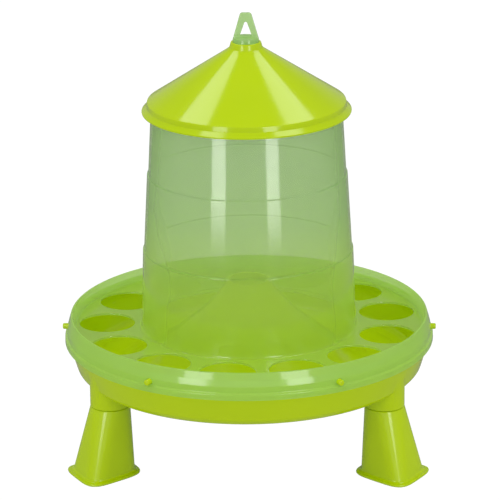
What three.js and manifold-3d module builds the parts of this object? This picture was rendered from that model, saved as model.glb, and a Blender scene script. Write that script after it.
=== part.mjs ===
// A gravity feeder for poultry and game birds: a hopper that stands over a round pan on three legs.
// Feed runs down through the hopper, off the cone in the middle of the pan and into the trough,
// and birds take it through the thirteen holes of the feed ring.
// Millimetres, +Z up. The origin is on the feeder's axis, in the plane that its feet stand on.
// Angles go round the axis from the front (-Y), positive towards +X.

import * as THREE from 'three';
import { mergeVertices } from 'three/addons/utils/BufferGeometryUtils.js';
import { LoftGeometry } from 'three/addons/geometries/LoftGeometry.js';
import Module from 'manifold-3d';

const wasm = await Module();
wasm.setup();

// Driving dimensions
const LIP_TOP = 143.8; // top of the feed ring's lip, above the floor
const WALL = 2.2; // wall of the translucent mouldings
const PAN_WALL = 2.4; // wall of the pan, the lid and the legs
const GAP = 0.3; // clearance between pieces that meet
const FACETS = 60; // round the large turned pieces

const LID_CONE_SLOPE = 0.655; // fall of the lid's cone for each millimetre outwards
const LID_CONE_RADIUS = 99.3;
const LID_CONE_EDGE_Z = LIP_TOP + 222; // where the cone's line would reach the lid's side
const COLLAR_BORE = 13.2;
const COLLAR_TOP_Z = LIP_TOP + 282.4;

const HOPPER_TOP_Z = LIP_TOP + 221.9;
const HOPPER_FOOT_Z = LIP_TOP - 14.7;
const HOPPER_FOOT_RADIUS = 110.2;

const RING_PLATE_Z = LIP_TOP - 12.5; // upper face of the perforated plate
const FEED_HOLES = 13;
const FEED_HOLE_RADIUS = 28;
const FEED_HOLE_CIRCLE = 144.4;
const FEED_HOLE_START = -6.8; // degrees, the hole nearest the front

const PEGS = 6;
const PEG_RADIUS = 3;
const PEG_TIP = 190; // from the axis
const PEG_Z = LIP_TOP - 16.4;
const PEG_START = 30; // degrees
const SLOT_CLEARANCE = 0.4; // round each peg

const PAN_RIM_Z = LIP_TOP - 14;
const PAN_FLOOR_Z = LIP_TOP - 56.9;
const PAN_UNDERSIDE_Z = LIP_TOP - 59.3;
const CONE_TOP_Z = LIP_TOP + 35;

const LEG_ANGLES = { leg_left: -60, leg_right: 60, leg_rear: 180 };
const LEG_TOP_RADIUS = 20;
const LEG_TOP_CIRCLE = 158.4; // from the feeder's axis to a socket's axis
const LEG_TOP_Z = LIP_TOP - 71.4;
const SOCKET_DEPTH = 32;
const SPIGOT_RADIUS = LEG_TOP_RADIUS - PAN_WALL - 0.4;
const SPIGOT_HEIGHT = 30;
const FOOT_CIRCLE = 165.4; // from the feeder's axis to the middle of a foot
const FOOT = { reach: 33.2, width: 27.9, taper: 6.3, squareness: 4 }; // outline of a foot's flange
const FLANGE_WIDTH = 4.5;
const FLANGE_THICKNESS = 2.6;

const POST_RADIUS = 12.8;
const POST_TOP_Z = LIP_TOP + 287;
const BAR = { reach: 96.2, width: 14, height: 6, bottom: LIP_TOP + 211 };
const LOOP_TOP_Z = LIP_TOP + 311.7;
const LOOP_THICKNESS = 4.6;

const LIME = new THREE.Color(0xb4d420);
const PALE_GREEN = new THREE.Color(0x9cc878);

const limePlastic = () => new THREE.MeshStandardMaterial({ color: LIME, roughness: 0.3, metalness: 0 });

const greenPlastic = () => new THREE.MeshStandardMaterial({
  color: PALE_GREEN,
  roughness: 0.25,
  metalness: 0,
  transparent: true,
  opacity: 0.6,
});

// Solids: geometry to manifold and back, so that pieces can be joined and cut.
function solid(geometry) {
  const bare = geometry.index ? geometry.toNonIndexed() : geometry.clone();
  bare.deleteAttribute('normal');
  bare.deleteAttribute('uv');
  const merged = mergeVertices(bare, 1e-4);
  const corners = merged.index.array;
  const kept = [];
  for (let i = 0; i < corners.length; i += 3) {
    const [a, b, c] = [corners[i], corners[i + 1], corners[i + 2]];
    if (a !== b && b !== c && c !== a) kept.push(a, b, c);
  }
  return new wasm.Manifold(new wasm.Mesh({
    numProp: 3,
    vertProperties: new Float32Array(merged.attributes.position.array),
    triVerts: new Uint32Array(kept),
  }));
}

function surface(body) {
  const mesh = body.getMesh();
  const geometry = new THREE.BufferGeometry();
  geometry.setAttribute('position', new THREE.BufferAttribute(mesh.vertProperties, 3));
  geometry.setIndex(new THREE.BufferAttribute(mesh.triVerts, 1));
  return geometry;
}

const joined = (first, ...others) => others.reduce((sum, other) => sum.add(other), first);
const cut = (first, ...others) => others.reduce((rest, other) => rest.subtract(other), first);

// A body of revolution round Z. The profile is a list of [radius, z], anticlockwise with radius to the
// right and z up; it starts and ends on the axis, or closes on its first point.
function turned(profile, facets = FACETS) {
  const points = profile.map(([radius, z]) => new THREE.Vector2(radius, z));
  const onAxis = profile[0][0] === 0;
  if (!onAxis) points.push(points[0].clone());
  return solid(new THREE.LatheGeometry(points, facets).rotateX(Math.PI / 2));
}

function rod(radius, bottom, top, facets = 32) {
  const geometry = new THREE.CylinderGeometry(radius, radius, top - bottom, facets);
  return solid(geometry.rotateX(Math.PI / 2).translate(0, 0, (top + bottom) / 2));
}

function block(low, high) {
  const size = high.map((value, i) => value - low[i]);
  const middle = high.map((value, i) => (value + low[i]) / 2);
  return solid(new THREE.BoxGeometry(...size).translate(...middle));
}

// Moves a body out from the axis and turns it to its angle round the axis.
const atAngle = (body, angle, radius = 0) => body.translate([0, -radius, 0]).rotate([0, 0, angle]);

// Quarter-round between two directions, as [radius, z] points.
function arc(centre, radius, from, to, steps) {
  const points = [];
  for (let i = 0; i <= steps; i += 1) {
    const angle = THREE.MathUtils.degToRad(from + ((to - from) * i) / steps);
    points.push([centre[0] + radius * Math.cos(angle), centre[1] + radius * Math.sin(angle)]);
  }
  return points;
}

// The pan: an open dish with a cone in its middle, three leg sockets under it and six pegs round it.
function makePan() {
  const up = (points) => points.map(([radius, z]) => [radius, LIP_TOP + z]);
  const dish = turned([
    [0, CONE_TOP_Z - 9.4],
    ...up([[23.2, 25.6], [35, 10.6], [49.2, -4], [73.4, -24], [98.6, -42], [113.8, -51.6], [125, -57.3]]),
    [137, PAN_UNDERSIDE_Z],
    [162.5, PAN_UNDERSIDE_Z],
    ...up([[170.5, -57.2], [175.4, -52.2], [183.2, -26], [182.9, -20], [182.4, -14]]),
    [180, PAN_RIM_Z],
    ...up([[180.7, -26], [173.4, -50.6], [169.2, -55]]),
    [162, PAN_FLOOR_Z],
    [137, PAN_FLOOR_Z],
    ...up([[126, -55], [115, -49.5], [100, -40], [75, -22], [51, -2], [37, 12.5], [27, 25]]),
    [21, CONE_TOP_Z],
    [18.8, CONE_TOP_Z],
    [17.6, CONE_TOP_Z - 7],
    [0, CONE_TOP_Z - 7],
  ]);

  const pegs = [];
  for (let i = 0; i < PEGS; i += 1) {
    const peg = rod(PEG_RADIUS, 181, PEG_TIP, 16).rotate([90, 0, 0]).translate([0, 0, PEG_Z]);
    pegs.push(peg.rotate([0, 0, PEG_START + (360 / PEGS) * i]));
  }

  const bosses = [];
  const bores = [];
  const boreTop = LEG_TOP_Z + SOCKET_DEPTH;
  for (const angle of Object.values(LEG_ANGLES)) {
    bosses.push(atAngle(rod(LEG_TOP_RADIUS, LEG_TOP_Z, boreTop + PAN_WALL), angle, LEG_TOP_CIRCLE));
    bores.push(atAngle(rod(LEG_TOP_RADIUS - PAN_WALL, LEG_TOP_Z - 1, boreTop), angle, LEG_TOP_CIRCLE));
  }
  return cut(joined(dish, ...pegs, ...bosses), ...bores);
}

// The feed ring: a perforated plate inside a raised lip, and a skirt that slides down over the pegs.
function makeFeedRing() {
  const plateUnder = RING_PLATE_Z - WALL;
  const up = (points) => points.map(([radius, z]) => [radius, LIP_TOP + z]);
  const ring = turned([
    [HOPPER_FOOT_RADIUS + GAP, plateUnder],
    [177.6, plateUnder],
    ...up([[179.6, -8], [181.2, -8], [182.6, -13], [183, -20.4], [185, -22.6], [185.2, -26.5]]),
    ...up([[187.2, -26.5], [187, -21], [185, -19], [184.6, -12.5], [183, -7], [181.2, -0.9]]),
    ...up([[180.4, 0], [179.5, 0], [179, -0.9]]),
    [176.6, RING_PLATE_Z],
    [HOPPER_FOOT_RADIUS + GAP, RING_PLATE_Z],
  ]);

  const cuts = [];
  for (let i = 0; i < FEED_HOLES; i += 1) {
    const hole = rod(FEED_HOLE_RADIUS, plateUnder - 1, RING_PLATE_Z + 1, 24);
    cuts.push(atAngle(hole, FEED_HOLE_START + (360 / FEED_HOLES) * i, FEED_HOLE_CIRCLE));
  }
  // Each slot is open at the skirt's lower edge and round at its top, where the peg lies.
  const slotRadius = PEG_RADIUS + SLOT_CLEARANCE;
  for (let i = 0; i < PEGS; i += 1) {
    const round = rod(slotRadius, 182.2, PEG_TIP, 16).rotate([90, 0, 0]).translate([0, 0, PEG_Z]);
    const straight = block([-slotRadius, -PEG_TIP, LIP_TOP - 30], [slotRadius, -182.2, PEG_Z]);
    cuts.push(joined(round, straight).rotate([0, 0, PEG_START + (360 / PEGS) * i]));
  }
  return cut(ring, ...cuts);
}

// The hopper: a tube of three tapered stretches, each a step wider than the one above it.
function makeHopper() {
  const outside = [
    [HOPPER_FOOT_RADIUS, HOPPER_FOOT_Z],
    [HOPPER_FOOT_RADIUS, RING_PLATE_Z],
    [109, LIP_TOP - 6],
    [106.2, LIP_TOP + 68.5],
    [105, LIP_TOP + 70],
    [100.6, LIP_TOP + 147],
    [99.3, LIP_TOP + 148.6],
    [95.2, HOPPER_TOP_Z],
  ];
  const inside = outside.filter((_, i) => i !== 1).map(([radius, z]) => [radius - WALL, z]);
  const tube = turned([...outside, ...inside.reverse()]);
  const windows = block(
    [-BAR.reach - 5, -BAR.width / 2 - 0.4, BAR.bottom - 0.4],
    [BAR.reach + 5, BAR.width / 2 + 0.4, BAR.bottom + BAR.height + 0.4],
  );
  return cut(tube, windows);
}

// The lid: a cone with a collar at its top and a short side that ends in a flared edge.
function makeLid() {
  const coneZ = (radius) => LID_CONE_EDGE_Z + (LID_CONE_RADIUS - radius) * LID_CONE_SLOPE;
  const thickness = PAN_WALL; // down through the sloping wall
  const side = LIP_TOP + 218.3;
  const edge = LIP_TOP + 211.4;
  const inner = LID_CONE_RADIUS - 2.1;
  return turned([
    [COLLAR_BORE, coneZ(18) - thickness],
    [18, coneZ(18) - thickness],
    [94, coneZ(94) - thickness],
    [inner, side + 1.8],
    [inner, side - 0.6],
    [102.4, edge],
    [104.2, edge],
    [104.5, edge + 0.9],
    [LID_CONE_RADIUS + 0.2, side],
    [LID_CONE_RADIUS, side + 1.4],
    [98.2, side + 3.9],
    [95.6, coneZ(95.6)],
    [24, coneZ(24)],
    [16.8, coneZ(16.8) + 0.4],
    [15, COLLAR_TOP_Z - 1],
    [14.2, COLLAR_TOP_Z],
    [COLLAR_BORE, COLLAR_TOP_Z],
  ]);
}

// The hanger: a bar across the hopper's mouth, a hollow post up through the lid and a loop on top.
function makeHanger() {
  const plate = new THREE.Shape();
  plate.moveTo(-POST_RADIUS, POST_TOP_Z - 8);
  plate.lineTo(POST_RADIUS, POST_TOP_Z - 8);
  plate.lineTo(POST_RADIUS, POST_TOP_Z + 1.8);
  plate.lineTo(5.9, LOOP_TOP_Z - 1.6);
  plate.quadraticCurveTo(5.4, LOOP_TOP_Z, 4, LOOP_TOP_Z);
  plate.lineTo(-4, LOOP_TOP_Z);
  plate.quadraticCurveTo(-5.4, LOOP_TOP_Z, -5.9, LOOP_TOP_Z - 1.6);
  plate.lineTo(-POST_RADIUS, POST_TOP_Z + 1.8);
  plate.closePath();
  const eye = new THREE.Path();
  const eyeBottom = POST_TOP_Z + 1.7;
  eye.moveTo(-5.4, eyeBottom);
  eye.lineTo(-1.3, eyeBottom + 12.4);
  eye.quadraticCurveTo(0, eyeBottom + 15, 1.3, eyeBottom + 12.4);
  eye.lineTo(5.4, eyeBottom);
  eye.closePath();
  plate.holes.push(eye);
  const sheet = new THREE.ExtrudeGeometry(plate, {
    depth: LOOP_THICKNESS,
    bevelEnabled: false,
    curveSegments: 4,
  });
  const loop = solid(sheet.rotateX(Math.PI / 2).translate(0, LOOP_THICKNESS / 2, 0));

  const bar = block(
    [-BAR.reach, -BAR.width / 2, BAR.bottom],
    [BAR.reach, BAR.width / 2, BAR.bottom + BAR.height],
  );
  const post = rod(POST_RADIUS, BAR.bottom, POST_TOP_Z);
  const bore = rod(POST_RADIUS - WALL, BAR.bottom - 1, POST_TOP_Z - WALL);
  return joined(cut(joined(bar, post), bore), cut(loop, bore));
}

// A section of a leg: a rounded square that is wider on the side away from the feeder's axis.
function legSection({ reach, width, taper, squareness }, centre, z, points = 32) {
  const section = [];
  for (let i = 0; i < points; i += 1) {
    const angle = (2 * Math.PI * i) / points;
    const bulge = (value) => Math.sign(value) * Math.abs(value) ** (2 / squareness);
    const outwards = bulge(Math.cos(angle));
    const sideways = bulge(Math.sin(angle));
    section.push(new THREE.Vector3((width + taper * outwards) * sideways, -centre - reach * outwards, z));
  }
  return section;
}

const lofted = (...sections) => solid(new LoftGeometry(sections, { capStart: true, capEnd: true }));

function inset(outline, by) {
  return { ...outline, reach: outline.reach - by, width: outline.width - by };
}

// A leg: a hollow shell from a round top to a rounded-square foot, with a flange to stand on and a
// spigot that pushes up into the pan's socket.
function makeLeg() {
  const round = { reach: LEG_TOP_RADIUS, width: LEG_TOP_RADIUS, taper: 0, squareness: 2 };
  const foot = inset(FOOT, FLANGE_WIDTH);
  const top = LEG_TOP_Z - GAP;
  const roof = top - PAN_WALL;
  const shell = lofted(legSection(foot, FOOT_CIRCLE, 0), legSection(round, LEG_TOP_CIRCLE, top));
  const flange = lofted(legSection(FOOT, FOOT_CIRCLE, 0), legSection(FOOT, FOOT_CIRCLE, FLANGE_THICKNESS));
  const hollow = lofted(
    legSection(inset(foot, PAN_WALL), FOOT_CIRCLE, -0.5),
    legSection(inset(round, PAN_WALL), LEG_TOP_CIRCLE, roof),
  );
  const spigotTop = top + SPIGOT_HEIGHT;
  const spigot = rod(SPIGOT_RADIUS, top - 1, spigotTop).translate([0, -LEG_TOP_CIRCLE, 0]);
  const bore = rod(SPIGOT_RADIUS - WALL, roof - 1, spigotTop - WALL).translate([0, -LEG_TOP_CIRCLE, 0]);
  return cut(joined(shell, flange, spigot), hollow, bore);
}

const group = new THREE.Group();

function addPiece(name, body, material) {
  const mesh = new THREE.Mesh(surface(body), material);
  mesh.name = name;
  group.add(mesh);
  return mesh;
}

addPiece('pan', makePan(), limePlastic());
addPiece('feed_ring', makeFeedRing(), greenPlastic());
addPiece('hopper', makeHopper(), greenPlastic());
addPiece('hanger', makeHanger(), greenPlastic());
addPiece('lid', makeLid(), limePlastic());

const leg = makeLeg();
for (const [name, angle] of Object.entries(LEG_ANGLES)) {
  const mesh = addPiece(name, leg, limePlastic());
  mesh.rotation.z = THREE.MathUtils.degToRad(angle);
}

export default group;
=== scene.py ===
"""Gravity game feeder: the visual model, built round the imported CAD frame.

The pieces are built in millimetres on the feeder's upright axis, with angles round it from the
front (-Y) towards +X, and are scaled to metres when their mesh is made. Heights are given from the
top of the feed ring's lip, whose height over the floor comes from the frame.
"""

import math

import bmesh
import bpy
from mathutils import Matrix, Vector


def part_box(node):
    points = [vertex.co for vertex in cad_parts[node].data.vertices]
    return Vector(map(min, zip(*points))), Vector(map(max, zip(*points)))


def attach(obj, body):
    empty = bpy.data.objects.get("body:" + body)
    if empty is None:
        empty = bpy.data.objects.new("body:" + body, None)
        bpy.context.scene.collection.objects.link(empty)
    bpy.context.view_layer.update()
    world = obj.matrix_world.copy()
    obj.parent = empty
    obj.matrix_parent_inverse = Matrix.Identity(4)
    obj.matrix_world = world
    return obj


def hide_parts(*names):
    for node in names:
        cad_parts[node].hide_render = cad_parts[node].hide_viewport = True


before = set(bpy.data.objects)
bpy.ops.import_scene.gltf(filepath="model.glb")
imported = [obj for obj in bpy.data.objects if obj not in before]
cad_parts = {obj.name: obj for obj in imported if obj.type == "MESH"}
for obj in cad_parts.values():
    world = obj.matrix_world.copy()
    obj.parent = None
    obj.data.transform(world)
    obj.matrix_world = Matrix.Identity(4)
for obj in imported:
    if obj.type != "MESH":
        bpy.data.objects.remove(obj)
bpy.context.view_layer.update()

MM = 0.001
LIP_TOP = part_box("feed_ring")[1].z / MM  # top of the lip over the floor, mm

# ---------------------------------------------------------------- sizes, mm
WALL = 2.2  # wall of the translucent mouldings
PAN_WALL = 2.4  # wall of the pan, the lid and the legs
GAP = 0.3  # between pieces that meet
CLEARANCE = 0.4  # round a peg or a spigot
ON_AXIS = 1e-6  # radii under this are a pole

FEED_HOLES = 13
FEED_HOLE_RADIUS = 28.0
FEED_HOLE_CIRCLE = 144.4
FEED_HOLE_START = -6.8  # degrees
PLATE_TOP = -12.5
PLATE_UNDER = PLATE_TOP - WALL
PLATE_INNER, PLATE_OUTER = 115.2, 173.6  # the flat between the two fillets

ARC_STEP = math.radians(14)  # largest turn between the points of a fillet
STRAIGHT = math.radians(179.7)  # a corner opener than this gets no fillet
SHARP = 32.0  # degrees between faces from which an edge is a crease
SECTOR_STEPS = 20  # along each arc of a feed hole's sector
SIDE_STEPS = 12
SEGMENTS = FEED_HOLES * SECTOR_STEPS  # round the large turned pieces
SMALL_SEGMENTS = 96  # round the post, the legs and their sockets

PEGS = 6
PEG_START = 30.0  # degrees
PEG_RADIUS = 3.0
PEG_TIP = 190.0
PEG_Z = -16.4

LEGS = {"leg_left": -60.0, "leg_right": 60.0, "leg_rear": 180.0}
LEG_TOP_RADIUS = 20.0
LEG_TOP_CIRCLE = 158.4
LEG_TOP_Z = -71.4
SOCKET_DEPTH = 32.0
FOOT_CIRCLE = 165.4
FOOT = {"reach": 33.2, "width": 27.9, "taper": 6.3, "power": 4.0}
FLANGE_WIDTH = 4.5
FLANGE_THICKNESS = 2.6
SPIGOT_RADIUS = LEG_TOP_RADIUS - PAN_WALL - CLEARANCE
SPIGOT_HEIGHT = 30.0

LID_SLOPE = 0.655  # fall of the lid's cone for each millimetre outwards
LID_CONE_EDGE = (99.3, 222.0)  # where the cone's line reaches the lid's side
COLLAR_BORE = 13.2
COLLAR_TOP = 282.4

POST_RADIUS = 12.8
POST_TOP = 287.0
BAR_LOW, BAR_HIGH, BAR_HALF = 211.0, 217.0, 7.0


# ---------------------------------------------------------------- mesh helpers
def polar(radius, degrees, z=0.0):
    angle = math.radians(degrees)
    return Vector((radius * math.sin(angle), -radius * math.cos(angle), z))


def rounded(corners, closed=True):
    """Corners as (r, z) or (r, z, fillet radius). Gives the outline with an arc for each fillet."""
    points = [Vector(c[:2]) for c in corners]
    outline = []
    count = len(points)
    for i, corner in enumerate(points):
        fillet = corners[i][2] if len(corners[i]) > 2 else 0.0
        if fillet == 0.0 or (not closed and i in (0, count - 1)):
            outline.append(corner)
            continue
        before = points[i - 1] - corner
        after = points[(i + 1) % count] - corner
        opening = before.angle(after)
        if opening > STRAIGHT:
            outline.append(corner)
            continue
        tangent = min(
            fillet / math.tan(opening / 2), 0.49 * before.length, 0.49 * after.length
        )
        radius = tangent * math.tan(opening / 2)
        bisector = (before.normalized() + after.normalized()).normalized()
        centre = corner + bisector * (radius / math.sin(opening / 2))
        first = corner + before.normalized() * tangent - centre
        last = corner + after.normalized() * tangent - centre
        start = math.atan2(first.y, first.x)
        sweep = math.atan2(first.x * last.y - first.y * last.x, first.dot(last))
        steps = max(3, math.ceil(abs(sweep) / ARC_STEP))
        for k in range(steps + 1):
            angle = start + sweep * k / steps
            outline.append(centre + radius * Vector((math.cos(angle), math.sin(angle))))
    return outline


def bridge(bm, rings, closed=False):
    """Faces between each ring of vertices and the next. A ring of one vertex is a pole."""
    pairs = list(zip(rings, rings[1:]))
    if closed:
        pairs.append((rings[-1], rings[0]))
    for a, b in pairs:
        if len(a) == 1 and len(b) == 1:
            continue
        count = max(len(a), len(b))
        for i in range(count):
            j = (i + 1) % count
            if len(a) == 1:
                bm.faces.new((a[0], b[j], b[i]))
            elif len(b) == 1:
                bm.faces.new((a[i], a[j], b[0]))
            else:
                bm.faces.new((a[i], a[j], b[j], b[i]))


def turn(bm, outline, segments=SEGMENTS, start=0.0, closed=True, centre=(0.0, 0.0)):
    """A body of revolution from an outline of (r, z) with z from the lip's top."""
    rings = []
    for radius, z in outline:
        if radius < ON_AXIS:
            rings.append([bm.verts.new((*centre, LIP_TOP + z))])
            continue
        ring = []
        for k in range(segments):
            p = polar(radius, start + 360.0 * k / segments, LIP_TOP + z)
            ring.append(bm.verts.new((p.x + centre[0], p.y + centre[1], p.z)))
        rings.append(ring)
    bridge(bm, rings, closed)


def to_object(bm, name):
    """The bmesh as an object in metres, shaded smooth except over sharp edges."""
    bmesh.ops.remove_doubles(bm, verts=bm.verts, dist=1e-4)
    bmesh.ops.recalc_face_normals(bm, faces=bm.faces)
    bm.transform(Matrix.Scale(MM, 4))
    mesh = bpy.data.meshes.new(name)
    bm.to_mesh(mesh)
    bm.free()
    mesh.shade_smooth()
    mesh.set_sharp_from_angle(angle=math.radians(SHARP))
    made = bpy.data.objects.new(name, mesh)
    bpy.context.collection.objects.link(made)
    return made


def combine(body, other, operation):
    """Joins other to body, or cuts it away, and removes it."""
    modifier = body.modifiers.new("combine", "BOOLEAN")
    modifier.operation = operation
    modifier.solver = "EXACT"
    modifier.object = other
    graph = bpy.context.evaluated_depsgraph_get()
    result = bpy.data.meshes.new_from_object(body.evaluated_get(graph))
    body.modifiers.clear()
    old, body.data = body.data, result
    bpy.data.meshes.remove(old)
    spent = other.data
    bpy.data.objects.remove(other)
    bpy.data.meshes.remove(spent)
    result.shade_smooth()
    result.set_sharp_from_angle(angle=math.radians(SHARP))


def prism(bm, outline, low, high, place):
    """A flat outline of (x, z) drawn from y = low to y = high, then moved by the matrix place."""
    ends = []
    for y in (low, high):
        ends.append([bm.verts.new(place @ Vector((x, y, z))) for x, z in outline])
    bridge(bm, ends)
    bm.faces.new(ends[0])
    bm.faces.new(list(reversed(ends[1])))


def about_axis(degrees):
    return Matrix.Rotation(math.radians(degrees), 4, "Z")


# ---------------------------------------------------------------- the hopper and feed ring
def hopper_wall():
    """From the flat of the plate's underside, up inside the hopper and down its outside."""
    outside = [
        (95.2, 221.9, 0.8),
        (99.3, 148.1, 0.3),
        (100.6, 147.2, 0.9),
        (105.0, 69.5, 0.3),
        (106.2, 68.7, 0.9),
        (109.0, -6.0, 8.0),
    ]
    inside = [(r - WALL, z, f) for r, z, f in outside]
    return [
        (PLATE_INNER, PLATE_UNDER),
        (107.0, PLATE_UNDER, 0.5),
        *reversed(inside),
        *outside,
        (109.4, PLATE_TOP, 4.6),
        (PLATE_INNER, PLATE_TOP),
    ]


LIP_AND_SKIRT = [
    (PLATE_OUTER, PLATE_TOP),
    (176.6, PLATE_TOP, 1.8),
    (179.2, 0.0, 0.7),
    (180.9, 0.0, 0.9),
    (183.0, -7.0, 5.0),
    (184.7, -13.5, 8.0),
    (185.0, -19.2, 1.0),
    (187.0, -20.8, 1.0),
    (187.2, -26.5, 0.7),
    (185.2, -26.5, 0.5),
    (185.0, -22.6, 0.8),
    (183.0, -20.6, 1.0),
    (182.6, -13.0, 3.0),
    (181.2, -8.0, 0.8),
    (179.6, -8.0, 0.8),
    (177.6, PLATE_UNDER, 0.8),
    (PLATE_OUTER, PLATE_UNDER),
]


def perforated_plate(bm):
    """The flat plate, one sector to a hole, each hole with rounded edges."""
    fillet = 0.8
    half = 180.0 / FEED_HOLES
    edge = []  # the hole's wall as (growth of the radius, z)
    for k in range(5):
        angle = math.radians(90.0 * (1 - k / 4))
        edge.append(
            (fillet * (1 - math.cos(angle)), PLATE_TOP - fillet * (1 - math.sin(angle)))
        )
    edge += [(growth, PLATE_TOP + PLATE_UNDER - z) for growth, z in reversed(edge)]
    for k in range(FEED_HOLES):
        middle = FEED_HOLE_START + 2 * half * k
        centre = polar(FEED_HOLE_CIRCLE, middle)
        span = PLATE_OUTER - PLATE_INNER
        border = []
        for j in range(SECTOR_STEPS):
            border.append(
                polar(PLATE_INNER, middle - half + 2 * half * j / SECTOR_STEPS)
            )
        for j in range(SIDE_STEPS):
            border.append(polar(PLATE_INNER + span * j / SIDE_STEPS, middle + half))
        for j in range(SECTOR_STEPS):
            border.append(
                polar(PLATE_OUTER, middle + half - 2 * half * j / SECTOR_STEPS)
            )
        for j in range(SIDE_STEPS):
            border.append(polar(PLATE_OUTER - span * j / SIDE_STEPS, middle - half))

        def ring(share, radius, z):
            points = []
            for p in border:
                rim = centre + (p - centre).normalized() * radius
                q = rim.lerp(p, share)
                points.append(bm.verts.new((q.x, q.y, LIP_TOP + z)))
            return points

        widest = FEED_HOLE_RADIUS + fillet
        rings = [ring(share, widest, PLATE_TOP) for share in (1.0, 0.6, 0.25)]
        rings += [ring(0.0, FEED_HOLE_RADIUS + growth, z) for growth, z in edge]
        rings += [ring(share, widest, PLATE_UNDER) for share in (0.25, 0.6, 1.0)]
        bridge(bm, rings)


def make_moulding():
    bm = bmesh.new()
    start = FEED_HOLE_START - 180.0 / FEED_HOLES
    turn(bm, rounded(hopper_wall(), closed=False), start=start, closed=False)
    turn(bm, rounded(LIP_AND_SKIRT, closed=False), start=start, closed=False)
    perforated_plate(bm)
    moulding = to_object(bm, "hopper_and_feed_ring")

    cutters = bmesh.new()
    hole = PEG_RADIUS + CLEARANCE
    outline = []
    for k in range(24):
        angle = math.radians(15.0 * k)
        outline.append((hole * math.cos(angle), LIP_TOP + PEG_Z + hole * math.sin(angle)))
    for k in range(PEGS):
        prism(cutters, outline, -192.0, -181.9, about_axis(PEG_START + 60.0 * k))
    # the windows that the hanger's bar ends lie in
    side, sill, head = BAR_HALF + CLEARANCE, BAR_LOW - CLEARANCE, BAR_HIGH + CLEARANCE
    corners = [(-side, sill), (side, sill), (side, head), (-side, head)]
    window = [(x, LIP_TOP + z) for x, z in corners]
    for degrees in (90.0, -90.0):
        prism(cutters, window, -101.0, -90.0, about_axis(degrees))
    combine(moulding, to_object(cutters, "cutters"), "DIFFERENCE")
    return moulding


# ---------------------------------------------------------------- the pan
PAN_UNDERSIDE = [
    (0.0, 25.6),
    (23.2, 25.6, 3.0),
    (35.0, 10.6, 40.0),
    (49.2, -4.0, 40.0),
    (73.4, -24.0, 60.0),
    (98.6, -42.0, 60.0),
    (113.8, -51.6, 40.0),
    (125.0, -57.3, 30.0),
    (137.0, -59.3, 40.0),
    (162.5, -59.3, 8.0),
    (170.5, -57.2, 8.0),
    (175.4, -52.2, 8.0),
    (183.2, -26.0, 20.0),
    (182.9, -20.0, 3.0),
    (182.4, -14.0, 0.6),
]
PAN_INSIDE = [
    (180.0, -14.0, 0.6),
    (180.7, -26.0, 20.0),
    (173.4, -50.6, 8.0),
    (169.2, -55.0, 6.0),
    (162.0, -56.9, 8.0),
    (137.0, -56.9, 40.0),
    (126.0, -55.0, 30.0),
    (115.0, -49.5, 40.0),
    (100.0, -40.0, 60.0),
    (75.0, -22.0, 60.0),
    (51.0, -2.0, 40.0),
    (37.0, 12.5, 40.0),
    (27.0, 25.0, 20.0),
    (21.0, 35.0, 0.9),
    (18.8, 35.0, 0.7),
    (17.6, 28.0, 1.5),
    (0.0, 28.0),
]


def make_pan():
    bm = bmesh.new()
    turn(bm, rounded(PAN_UNDERSIDE + PAN_INSIDE, closed=False), closed=False)
    pan = to_object(bm, "pan_dish")

    extras = bmesh.new()
    boss_top = LEG_TOP_Z + SOCKET_DEPTH + PAN_WALL
    boss = rounded(
        [(0.0, LEG_TOP_Z), (LEG_TOP_RADIUS, LEG_TOP_Z, 0.9), (LEG_TOP_RADIUS, boss_top, 1.6),
         (0.0, boss_top)],
        closed=False,
    )
    for degrees in LEGS.values():
        place = polar(LEG_TOP_CIRCLE, degrees)
        turn(extras, boss, segments=SMALL_SEGMENTS, closed=False, centre=(place.x, place.y))
    peg = rounded(
        [(0.0, 181.4), (PEG_RADIUS, 181.4), (PEG_RADIUS, PEG_TIP, 1.3), (0.0, PEG_TIP)],
        closed=False,
    )
    for k in range(PEGS):
        place = about_axis(PEG_START + 60.0 * k)
        rings = []
        for radius, reach in peg:
            count = 32 if radius > ON_AXIS else 1
            ring = []
            for j in range(count):
                angle = 2 * math.pi * j / count
                local = Vector(
                    (radius * math.cos(angle), -reach,
                     LIP_TOP + PEG_Z + radius * math.sin(angle))
                )
                ring.append(extras.verts.new(place @ local))
            rings.append(ring)
        bridge(extras, rings)
    combine(pan, to_object(extras, "extras"), "UNION")

    bores = bmesh.new()
    bore = [
        (0.0, LEG_TOP_Z - 3.0),
        (LEG_TOP_RADIUS - PAN_WALL, LEG_TOP_Z - 3.0),
        (LEG_TOP_RADIUS - PAN_WALL, LEG_TOP_Z + SOCKET_DEPTH),
        (0.0, LEG_TOP_Z + SOCKET_DEPTH),
    ]
    for degrees in LEGS.values():
        place = polar(LEG_TOP_CIRCLE, degrees)
        turn(bores, bore, segments=SMALL_SEGMENTS, closed=False, centre=(place.x, place.y))
    combine(pan, to_object(bores, "bores"), "DIFFERENCE")
    return pan


# ---------------------------------------------------------------- the lid
def make_lid():
    edge_radius, edge_z = LID_CONE_EDGE

    def cone(radius, drop=0.0):
        return radius, edge_z + (edge_radius - radius) * LID_SLOPE - drop

    bm = bmesh.new()
    outline = [
        (COLLAR_BORE, cone(18.0, PAN_WALL)[1], 0.4),
        (18.0, cone(18.0, PAN_WALL)[1], 1.0),
        (*cone(94.0, PAN_WALL), 2.5),
        (97.2, 220.1, 1.0),
        (97.2, 217.7, 1.0),
        (102.4, 211.4, 0.5),
        (104.4, 211.4, 0.6),
        (104.8, 212.8, 0.6),
        (99.7, 217.2, 1.0),
        (99.2, 222.3, 1.5),
        (*cone(20.0), 2.0),
        (16.6, cone(16.6)[1] + 0.4, 1.4),
        (15.0, COLLAR_TOP, 1.2),
        (COLLAR_BORE, COLLAR_TOP, 0.5),
    ]
    turn(bm, rounded(outline))
    return to_object(bm, "lid_cone")


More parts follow.
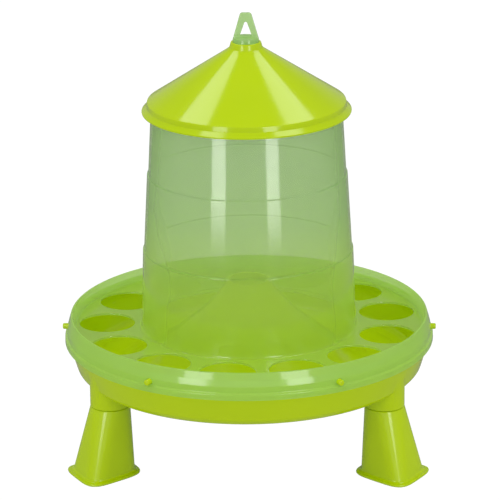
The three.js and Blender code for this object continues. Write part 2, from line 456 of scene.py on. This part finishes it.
# ---------------------------------------------------------------- the hanger
def make_hanger():
    body = bmesh.new()
    post = [
        (0.0, BAR_LOW),
        (POST_RADIUS, BAR_LOW, 0.5),
        (POST_RADIUS, POST_TOP, 1.2),
        (0.0, POST_TOP),
    ]
    turn(body, rounded(post, closed=False), segments=SMALL_SEGMENTS, closed=False)
    hanger = to_object(body, "hanging_post")

    bar = bmesh.new()
    profile = [
        (-BAR_HALF, BAR_LOW, 0.8),
        (BAR_HALF, BAR_LOW, 0.8),
        (BAR_HALF, BAR_HIGH, 0.8),
        (-BAR_HALF, BAR_HIGH, 0.8),
    ]
    section = [(x, LIP_TOP + z) for x, z in rounded(profile)]
    prism(bar, section, -96.2, 96.2, about_axis(90.0))
    combine(hanger, to_object(bar, "bar"), "UNION")

    bore = bmesh.new()
    hollow = [
        (0.0, BAR_LOW - 3.0),
        (POST_RADIUS - WALL, BAR_LOW - 3.0),
        (POST_RADIUS - WALL, POST_TOP - WALL),
        (0.0, POST_TOP - WALL),
    ]
    turn(bore, hollow, segments=SMALL_SEGMENTS, closed=False)
    combine(hanger, to_object(bore, "bore"), "DIFFERENCE")

    combine(hanger, make_loop(), "UNION")
    return hanger


def make_loop():
    """The flat loop on the post, with a triangular eye, its edges rounded on both faces."""
    outer = rounded(
        [(-13.2, 284.0), (13.2, 284.0), (5.3, 311.7, 3.0), (-5.3, 311.7, 3.0)]
    )
    eye = rounded([(-5.9, 288.8, 0.5), (5.9, 288.8, 0.5), (0.0, 305.6, 1.5)])
    half, edge = 2.3, 1.2

    def slab(points, grow):
        bm = bmesh.new()
        rings = []
        middle = sum((Vector(p) for p in points), Vector((0, 0))) / len(points)
        steps = 4
        levels = []
        for k in range(steps + 1):
            angle = math.radians(90.0 * k / steps)
            levels.append((edge * (1 - math.sin(angle)), -half + edge * (1 - math.cos(angle))))
        levels += [(inset, -y) for inset, y in reversed(levels)]
        if grow:
            levels = [(-inset, y) for inset, y in levels]
            levels = [(levels[0][0], -half - 1.0), *levels, (levels[0][0], half + 1.0)]
        count = len(points)
        for inset, y in levels:
            ring = []
            for i, point in enumerate(points):
                here = Vector(point)
                along = (Vector(points[(i + 1) % count]) - Vector(points[i - 1])).normalized()
                inwards = Vector((-along.y, along.x))
                if inwards.dot(middle - here) < 0:
                    inwards.negate()
                q = here + inwards * inset
                ring.append(bm.verts.new((q.x, y, LIP_TOP + q.y)))
            rings.append(ring)
        bridge(bm, rings)
        bm.faces.new(rings[0])
        bm.faces.new(list(reversed(rings[-1])))
        return bm

    loop = to_object(slab(outer, False), "loop")
    combine(loop, to_object(slab(eye, True), "eye"), "DIFFERENCE")
    return loop


# ---------------------------------------------------------------- the legs
def leg_outline(share, inset):
    """Points of a leg's wall: share 0 is its foot, share 1 its round top, inset is inwards."""
    power = FOOT["power"]
    points = []
    for k in range(SMALL_SEGMENTS):
        angle = 2 * math.pi * k / SMALL_SEGMENTS

        def bulge(value):
            return math.copysign(abs(value) ** (2 / power), value)

        out, side = bulge(math.cos(angle)), bulge(math.sin(angle))
        reach, width = FOOT["reach"] - inset, FOOT["width"] - inset
        foot = Vector(((width + FOOT["taper"] * out) * side, -FOOT_CIRCLE - reach * out))
        radius = LEG_TOP_RADIUS - inset
        top = Vector(
            (radius * math.sin(angle), -LEG_TOP_CIRCLE - radius * math.cos(angle))
        )
        points.append(foot.lerp(top, share))
    return points


def make_leg(name, degrees):
    bm = bmesh.new()
    top = LIP_TOP + LEG_TOP_Z - GAP
    flange, rim = FLANGE_WIDTH, FLANGE_THICKNESS
    spigot, rise = SPIGOT_RADIUS, SPIGOT_HEIGHT
    crown = 1.2  # fillet on top of the spigot
    place = about_axis(degrees)

    def round_ring(radius, z):
        points = []
        for k in range(SMALL_SEGMENTS):
            angle = 2 * math.pi * k / SMALL_SEGMENTS
            points.append(
                Vector(
                    (radius * math.sin(angle), -LEG_TOP_CIRCLE - radius * math.cos(angle))
                )
            )
        return points, z

    # The wall's inset shrinks from the flange's width at the foot to nothing at the top.
    def shell(z, extra=0.0):
        share = z / top
        foot = leg_outline(0.0, flange + extra)
        head = leg_outline(1.0, extra)
        return [a.lerp(b, share) for a, b in zip(foot, head)], z

    levels = [shell(0.0, PAN_WALL)]
    levels.append((leg_outline(0.0, 0.5), 0.0))
    for k in range(5):
        angle = math.radians(-90 + 45.0 * k)
        levels.append(
            (leg_outline(0.0, 0.8 - 0.8 * math.cos(angle)),
             rim / 2 + (rim / 2) * math.sin(angle))
        )
    fillet = 2.2
    for k in range(6):
        angle = math.radians(90.0 * k / 5)
        inset = flange - fillet * (1 - math.sin(angle))
        z = rim + fillet * (1 - math.cos(angle))
        share = z / top
        foot = leg_outline(0.0, inset)
        head = leg_outline(1.0, inset - flange)
        levels.append(([a.lerp(b, share) for a, b in zip(foot, head)], z))
    for k in range(1, 12):
        levels.append(shell(rim + fillet + (top - 1.0 - rim - fillet) * k / 12))
    for k in range(6):
        angle = math.radians(90.0 * k / 5)
        inset = 1.0 - math.cos(angle)
        levels.append(shell(top - 1.0 + math.sin(angle), inset))
    levels.append(round_ring(spigot, top))
    levels.append(round_ring(spigot, top + rise - crown))
    for k in range(1, 5):
        angle = math.radians(90.0 * k / 4)
        levels.append(
            round_ring(spigot - crown * (1 - math.cos(angle)),
                       top + rise - crown + crown * math.sin(angle))
        )
    levels.append(round_ring(0.0, top + rise))
    bore = spigot - WALL
    levels.append(round_ring(0.0, top + rise - WALL))
    levels.append(round_ring(bore, top + rise - WALL))
    levels.append(round_ring(bore, top - PAN_WALL))
    for k in range(11):
        levels.append(shell((top - PAN_WALL) * (1 - k / 11), PAN_WALL))
    rings = []
    for points, z in levels:
        if (points[0] - points[SMALL_SEGMENTS // 2]).length < ON_AXIS:
            points = points[:1]
        rings.append([bm.verts.new(place @ Vector((p.x, p.y, z))) for p in points])
    bridge(bm, rings)
    return to_object(bm, name + "_shell")


# ---------------------------------------------------------------- materials
GRAIN_DEPTH = 0.00002  # metres
# painted light: the lip and skirt are coloured lighter and yellower for the light they get from
# above and from the lime pan
LIP_GREEN_PAINTED_LIGHT = (0.53, 0.82, 0.16)
# painted light: lighter and yellower low down, standing in for light bounced up from the lime pan
LOW_GREEN_PAINTED_BOUNCE = (0.55, 0.8, 0.11)  # the foot of the hopper and the plate
HIGH_GREEN = (0.42, 0.66, 0.23)  # the top of the hopper
LOOP_GREEN = (0.5, 0.79, 0.27)
# painted shade: the dark line along each step of the hopper's wall
STEP_PAINTED_SHADE = (0.24, 0.42, 0.14)
WALL_STEPS = (147.7, 69.2)  # where the hopper's wall steps out
WHITE = (1.0, 1.0, 1.0, 1.0)


class Nodes:
    """A short way to write a node tree."""

    def __init__(self, tree):
        self.tree = tree
        tree.nodes.clear()

    def add(self, kind, **values):
        node = self.tree.nodes.new(kind)
        for key, value in values.items():
            setattr(node, key, value)
        return node

    def put(self, node, **values):
        for key, value in values.items():
            socket = node.inputs[key.replace("_", " ")]
            if isinstance(value, bpy.types.NodeSocket):
                self.tree.links.new(value, socket)
            else:
                socket.default_value = value
        return node

    def noise(self, place, scale, detail=2.0, roughness=0.5):
        node = self.add("ShaderNodeTexNoise")
        self.put(node, Vector=place, Scale=scale, Detail=detail, Roughness=roughness)
        return node.outputs["Fac"]

    def ranged(self, value, low, high, from_low=0.0, from_high=1.0):
        node = self.add("ShaderNodeMapRange")
        names = ("From Min", "From Max", "To Min", "To Max")
        self.tree.links.new(value, node.inputs["Value"])
        for key, number in zip(names, (from_low, from_high, low, high)):
            node.inputs[key].default_value = number
        return node.outputs["Result"]

    def tones(self, value, *stops):
        ramp = self.add("ShaderNodeValToRGB")
        self.tree.links.new(value, ramp.inputs["Fac"])
        elements = ramp.color_ramp.elements
        while len(elements) < len(stops):
            elements.new(0.5)
        for element, (position, colour) in zip(elements, stops):
            element.position = position
            element.color = (*colour, 1.0)
        return ramp.outputs["Color"]

    def maths(self, operation, a, b):
        node = self.add("ShaderNodeMath", operation=operation)
        for socket, value in zip(node.inputs, (a, b)):
            if isinstance(value, bpy.types.NodeSocket):
                self.tree.links.new(value, socket)
            else:
                socket.default_value = value
        return node.outputs[0]


def new_material(name):
    material = bpy.data.materials.new(name)
    material.use_nodes = True
    return material, Nodes(material.node_tree)


def grain(n, place, fine, strength):
    """Bump of a moulded skin: a slow waviness under a fine eggshell grain."""
    height = n.maths(
        "ADD",
        n.noise(place, fine, 2.0, 0.5),
        n.maths("MULTIPLY", n.noise(place, 30.0, 1.0), 8.0),
    )
    bump = n.add("ShaderNodeBump")
    n.put(bump, Strength=strength, Distance=GRAIN_DEPTH, Height=height)
    return bump.outputs["Normal"]


def lime_plastic():
    material, n = new_material("lime_plastic")
    place = n.add("ShaderNodeTexCoord").outputs["Object"]
    cloud = n.noise(place, 9.0, 2.0)
    colour = n.tones(
        cloud, (0.3, (0.49, 0.675, 0.0012)), (0.7, (0.52, 0.705, 0.0022))
    )
    shader = n.add("ShaderNodeBsdfPrincipled")
    n.put(
        shader,
        Base_Color=colour,
        Roughness=n.ranged(n.noise(place, 60.0, 3.0), 0.1, 0.15, 0.3, 0.7),
        Normal=grain(n, place, 320.0, 0.12),
        IOR=1.47,
    )
    out = n.add("ShaderNodeOutputMaterial")
    n.put(out, Surface=shader.outputs["BSDF"])
    return material


def radius_and_height(n, place):
    """Distance from the upright axis, and height over the lip, in metres."""
    split = n.add("ShaderNodeSeparateXYZ")
    n.put(split, Vector=place)
    x, y, z = split.outputs
    square = n.maths("ADD", n.maths("MULTIPLY", x, x), n.maths("MULTIPLY", y, y))
    return n.maths("SQRT", square, 0.0), n.maths("SUBTRACT", z, LIP_TOP * MM)


def band(n, height, middle, half):
    """1 on the middle height and 0 from half away, in mm over the lip."""
    away = n.maths("ABSOLUTE", n.maths("SUBTRACT", height, middle * MM), 0.0)
    return n.ranged(away, 1.0, 0.0, 0.0, half * MM)


def blend(n, share, first, second):
    """A colour that goes from first to second as share goes from 0 to 1."""
    node = n.add("ShaderNodeMix", data_type="RGBA")
    n.tree.links.new(share, node.inputs[0])
    for socket, value in zip((node.inputs[6], node.inputs[7]), (first, second)):
        if isinstance(value, bpy.types.NodeSocket):
            n.tree.links.new(value, socket)
        else:
            socket.default_value = (*value, 1.0)
    return node.outputs[2]


def green_plastic(name, thin, edge, upper, moulding=False):
    """Translucent: part is seen through, part scatters light both ways, and the skin is glossy.
    One surface hides thin of what is behind it when seen square on, and edge when seen edge on.
    Its colour is upper at the top, and goes to a lighter, yellower green lower down, painted to
    stand in for light bounced up from the lime pan."""
    material, n = new_material(name)
    place = n.add("ShaderNodeTexCoord").outputs["Object"]
    cloud = n.noise(place, 9.0, 2.0)
    skin = grain(n, place, 300.0, 0.08)
    radius, height = radius_and_height(n, place)
    # the colour is painted lighter and yellower low down, standing in for light bounced up from the
    # lime pan
    drift = n.maths("ADD", height, n.ranged(cloud, -0.008, 0.008, 0.3, 0.7))
    colour = n.tones(
        n.ranged(drift, 0.0, 1.0, 45.0 * MM, 120.0 * MM),
        (0.0, LOW_GREEN_PAINTED_BOUNCE), (1.0, upper),
    )
    thickness = n.ranged(cloud, -0.015, 0.015, 0.3, 0.7)
    if moulding:
        # the lip, the skirt, the plate and the foot of the wall are thicker; the lip and the skirt
        # are also painted lighter and yellower, for the light they get from above and from the lime
        # pan
        rim = n.ranged(radius, 0.0, 1.0, 174.0 * MM, 178.0 * MM)
        colour = blend(n, rim, colour, LIP_GREEN_PAINTED_LIGHT)
        thickness = n.maths("ADD", thickness, n.maths("MULTIPLY", rim, 0.26))
        thickness = n.maths(
            "ADD", thickness, n.ranged(drift, 0.02, 0.0, 70.0 * MM, 120.0 * MM)
        )
        # a painted shade line where the wall steps out, over the real step in the mesh
        for step in WALL_STEPS:
            line = band(n, height, step, 0.7)
            colour = blend(n, n.maths("MULTIPLY", line, 0.6), colour, STEP_PAINTED_SHADE)
            thickness = n.maths("ADD", thickness, n.maths("MULTIPLY", line, 0.12))

    front = n.add("ShaderNodeBsdfDiffuse")
    n.put(front, Color=colour, Normal=skin)
    behind = n.add("ShaderNodeBsdfTranslucent")
    n.put(behind, Color=colour, Normal=skin)
    scatter = n.add("ShaderNodeMixShader")
    n.put(scatter, Fac=0.5)
    n.tree.links.new(front.outputs[0], scatter.inputs[1])
    n.tree.links.new(behind.outputs[0], scatter.inputs[2])

    clear = n.add("ShaderNodeBsdfTransparent")
    n.put(clear, Color=(0.97, 0.99, 0.94, 1.0))

    facing = n.add("ShaderNodeLayerWeight")
    n.put(facing, Blend=0.5)
    edge_on = facing.outputs["Facing"]
    thick = n.ranged(n.maths("POWER", edge_on, 3.0), thin, edge)
    haze = n.maths("ADD", thick, thickness)
    haze = n.maths("MINIMUM", haze, 0.95)
    # light that lands on something else keeps on through the plastic, which scatters it forwards
    path = n.add("ShaderNodeLightPath")
    onward = n.maths("MAXIMUM", path.outputs["Is Diffuse Ray"], path.outputs["Is Shadow Ray"])
    haze = n.maths("MULTIPLY", haze, n.ranged(onward, 1.0, 0.15))
    body = n.add("ShaderNodeMixShader")
    n.put(body, Fac=haze)
    n.tree.links.new(clear.outputs[0], body.inputs[1])
    n.tree.links.new(scatter.outputs[0], body.inputs[2])

    gloss = n.add("ShaderNodeBsdfGlossy")
    n.put(
        gloss,
        Color=WHITE,
        Roughness=n.ranged(n.noise(place, 50.0, 3.0), 0.08, 0.13, 0.3, 0.7),
        Normal=skin,
    )
    schlick = n.ranged(n.maths("POWER", edge_on, 5.0), 0.042, 0.9)
    whole = n.add("ShaderNodeMixShader")
    n.put(whole, Fac=schlick)
    n.tree.links.new(body.outputs[0], whole.inputs[1])
    n.tree.links.new(gloss.outputs[0], whole.inputs[2])
    out = n.add("ShaderNodeOutputMaterial")
    n.put(out, Surface=whole.outputs[0])
    return material


# ---------------------------------------------------------------- the pieces on their bodies
LIME = lime_plastic()
GREEN = green_plastic("pale_green_plastic", 0.37, 0.85, HIGH_GREEN, moulding=True)
THICK_GREEN = green_plastic("thick_green_plastic", 0.72, 0.93, LOOP_GREEN)


def weigh_normals(piece):
    """Turns each vertex normal to the larger faces round it, so flats between fillets stay flat."""
    modifier = piece.modifiers.new("weigh", "WEIGHTED_NORMAL")
    modifier.keep_sharp = True
    modifier.weight = 100
    graph = bpy.context.evaluated_depsgraph_get()
    result = bpy.data.meshes.new_from_object(piece.evaluated_get(graph))
    piece.modifiers.clear()
    old, piece.data = piece.data, result
    bpy.data.meshes.remove(old)


def place_piece(piece, body, slot, material, *nodes):
    weigh_normals(piece)
    piece.data.materials.clear()
    piece.data.materials.append(material)
    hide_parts(*nodes)
    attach(piece, body)


place_piece(make_moulding(), "hopper", "pale_green_plastic", GREEN, "hopper", "feed_ring")
place_piece(make_hanger(), "hopper", "pale_green_plastic", THICK_GREEN, "hanger")
place_piece(make_pan(), "pan", "lime_plastic", LIME, "pan")
place_piece(make_lid(), "lid", "lime_plastic", LIME, "lid")
for leg, degrees in LEGS.items():
    place_piece(make_leg(leg, degrees), leg, "lime_plastic", LIME, leg)


# ---------------------------------------------------------------- floor, lights and camera
CAMERA_TURN = 1.8615  # degrees round the axis
CAMERA_ROLL = -0.6224  # degrees
CAMERA_ELEVATION = 18.2891  # degrees
CAMERA_AWAY = 3.1694  # metres
CAMERA_ASIDE = 0.00185  # metres
CAMERA_LENS = 225.81  # mm, on a sensor 36 mm wide
AIM_Z = 65.1  # mm over the lip, where the camera looks
LID_SIGHT = 16.2  # degrees that the camera's line of sight falls by at the lid
UPRIGHT_DISTANCE = 0.85  # metres from the axis to the upright softboxes
OVERHEAD_DISTANCE = 1.3  # metres from the lid to the softboxes over it


def make_floor():
    bm = bmesh.new()
    rings = []
    for radius in (0.0, 200.0, 400.0, 1200.0, 20000.0):
        count = 1 if radius == 0.0 else 96
        rings.append([bm.verts.new(polar(radius, 360.0 * k / count)) for k in range(count)])
    bridge(bm, rings)
    bm.transform(Matrix.Scale(MM, 4))
    mesh = bpy.data.meshes.new("floor")
    bm.to_mesh(mesh)
    bm.free()
    floor = bpy.data.objects.new("floor", mesh)
    bpy.context.collection.objects.link(floor)
    material, n = new_material("pale_floor")
    matt = n.add("ShaderNodeBsdfDiffuse")
    n.put(matt, Color=(0.78, 0.78, 0.78, 1.0))
    path = n.add("ShaderNodeLightPath")
    seen, mirrored = path.outputs["Is Camera Ray"], path.outputs["Is Glossy Ray"]
    glow = n.add("ShaderNodeEmission")
    n.put(glow, Color=WHITE, Strength=n.ranged(seen, 0.26, 1.04))
    mixed = n.add("ShaderNodeMixShader")
    n.put(mixed, Fac=n.maths("MAXIMUM", seen, mirrored))
    n.tree.links.new(matt.outputs[0], mixed.inputs[1])
    n.tree.links.new(glow.outputs[0], mixed.inputs[2])
    out = n.add("ShaderNodeOutputMaterial")
    n.put(out, Surface=mixed.outputs[0])
    mesh.materials.append(material)


def panel(name, centre, across, target, width, height, radiance):
    """A softbox at centre that faces target, with its width along across, seen in gloss only.
    Places are for a camera straight in front, and turn with it. Radiance 1 is the background's."""
    data = bpy.data.lights.new(name, "AREA")
    data.shape = "RECTANGLE"
    data.size, data.size_y = width, height
    data.energy = radiance * math.pi * width * height
    lamp = bpy.data.objects.new(name, data)
    z = (centre - target).normalized()
    y = z.cross(across).normalized()
    place = Matrix((y.cross(z), y, z)).transposed().to_4x4()
    place.translation = centre
    lamp.matrix_world = about_axis(CAMERA_TURN) @ place
    lamp.visible_camera = False
    lamp.visible_diffuse = False
    bpy.context.collection.objects.link(lamp)


def upright(name, first, last, low, high, radiance):
    """A softbox standing in front, between two angles round the axis and two heights in metres."""
    a, b = polar(UPRIGHT_DISTANCE, first), polar(UPRIGHT_DISTANCE, last)
    centre = (a + b) / 2
    centre.z = (low + high) / 2
    target = Vector((0.0, 0.0, centre.z))
    panel(name, centre, b - a, target, (b - a).length, high - low, radiance)


def mirrored(degrees, rise):
    """Where the camera's line of sight goes from a surface that faces degrees round the axis."""
    sight = math.radians(LID_SIGHT)
    to_camera = Vector((0.0, -math.cos(sight), math.sin(sight)))
    normal = polar(math.cos(math.radians(rise)), degrees, math.sin(math.radians(rise)))
    return 2 * normal.dot(to_camera) * normal - to_camera


def overhead(name, radius, z, rise, first, last, depth, radiance):
    """A softbox that a turned surface mirrors between two angles round it. The surface is at
    radius and z in mm, and faces rise degrees over the horizon."""
    away = OVERHEAD_DISTANCE
    target = polar(radius, (first + last) / 2, LIP_TOP + z) * MM
    a, b = mirrored(first, rise), mirrored(last, rise)
    centre = target + mirrored((first + last) / 2, rise) * away
    panel(name, centre, b - a, target, (b - a).length * away, depth, radiance)


def make_lights():
    world = bpy.data.worlds.new("studio")
    bpy.context.scene.world = world
    world.use_nodes = True
    n = Nodes(world.node_tree)
    path = n.add("ShaderNodeLightPath")
    split = n.add("ShaderNodeSeparateXYZ")
    n.put(split, Vector=n.add("ShaderNodeTexCoord").outputs["Generated"])
    level = n.tones(
        split.outputs["Z"],
        (0.0, (0.42, 0.42, 0.42)), (0.3, (0.34, 0.34, 0.34)),
        (0.5, (0.2, 0.2, 0.2)), (1.0, (0.16, 0.16, 0.16)),
    )
    low = n.ranged(split.outputs["Z"], 1.0, 0.0, 0.15, 0.4)
    front = n.ranged(split.outputs["Y"], 0.55, 0.0, -0.9, -0.4)
    mirrored = n.maths("ADD", level, n.maths("MULTIPLY", low, front))
    soft = n.maths(
        "MULTIPLY",
        n.ranged(split.outputs["Z"], 0.45, 1.2),
        n.ranged(split.outputs["Y"], 1.36, 0.72, -1.0, 1.0),
    )
    glossy = path.outputs["Is Glossy Ray"]
    strength = n.maths(
        "ADD",
        n.maths("MULTIPLY", glossy, mirrored),
        n.maths("MULTIPLY", n.maths("SUBTRACT", 1.0, glossy), soft),
    )
    strength = n.maths("MAXIMUM", strength, path.outputs["Is Camera Ray"])
    sky = n.add("ShaderNodeBackground")
    n.put(sky, Color=WHITE, Strength=strength)
    out = n.add("ShaderNodeOutputWorld")
    n.put(out, Surface=sky.outputs[0])

    # Two tall softboxes in front. Each one's foot is shifted sideways and fades out downwards.
    strips = {"left": (-39.0, -23.7, -36.2, -20.3), "right": (20.8, 34.9, 17.4, 33.0)}
    for side, (a, b, wide_a, wide_b) in strips.items():
        upright("strip_" + side, a, b, 0.136, 0.24, 4.7)
        upright("tall_" + side, wide_a, wide_b, 0.24, 0.9, 4.4)
        for k in range(7):
            foot = 0.08 + 0.008 * k
            upright("fade_%s_%d" % (side, k), a, b, foot, foot + 0.008, 0.6 * (k + 0.6))
    slope = math.degrees(math.atan(1 / LID_SLOPE))
    for side, sign in (("left", -1.0), ("right", 1.0)):
        overhead("lid_streak_" + side, 60.0, 250.0, slope, sign * 22.8, sign * 44.2, 0.3, 3.2)
    overhead("flare_left", 102.0, 215.0, 49.2, -12.5, -27.0, 0.25, 3.6)
    overhead("flare_right", 102.0, 215.0, 49.2, 15.0, 33.0, 0.25, 3.6)


def make_camera():
    target = Vector((0.0, 0.0, (LIP_TOP + AIM_Z) * MM))
    elevation = math.radians(CAMERA_ELEVATION)
    back = Vector((0.0, -math.cos(elevation), math.sin(elevation)))
    eye = target + back * CAMERA_AWAY + Vector((CAMERA_ASIDE, 0.0, 0.0))
    look = (-back).to_track_quat("-Z", "Y").to_matrix()
    roll = Matrix.Rotation(math.radians(CAMERA_ROLL), 3, "Z")
    data = bpy.data.cameras.new("camera")
    data.sensor_width = 36.0
    data.lens = CAMERA_LENS
    data.clip_end = 60.0
    camera = bpy.data.objects.new("camera", data)
    place = (look @ roll).to_4x4()
    place.translation = eye
    camera.matrix_world = about_axis(CAMERA_TURN) @ place
    bpy.context.collection.objects.link(camera)
    bpy.context.scene.camera = camera


make_floor()
make_lights()
make_camera()
scene = bpy.context.scene
scene.view_settings.view_transform = "Standard"
scene.cycles.transparent_max_bounces = 32
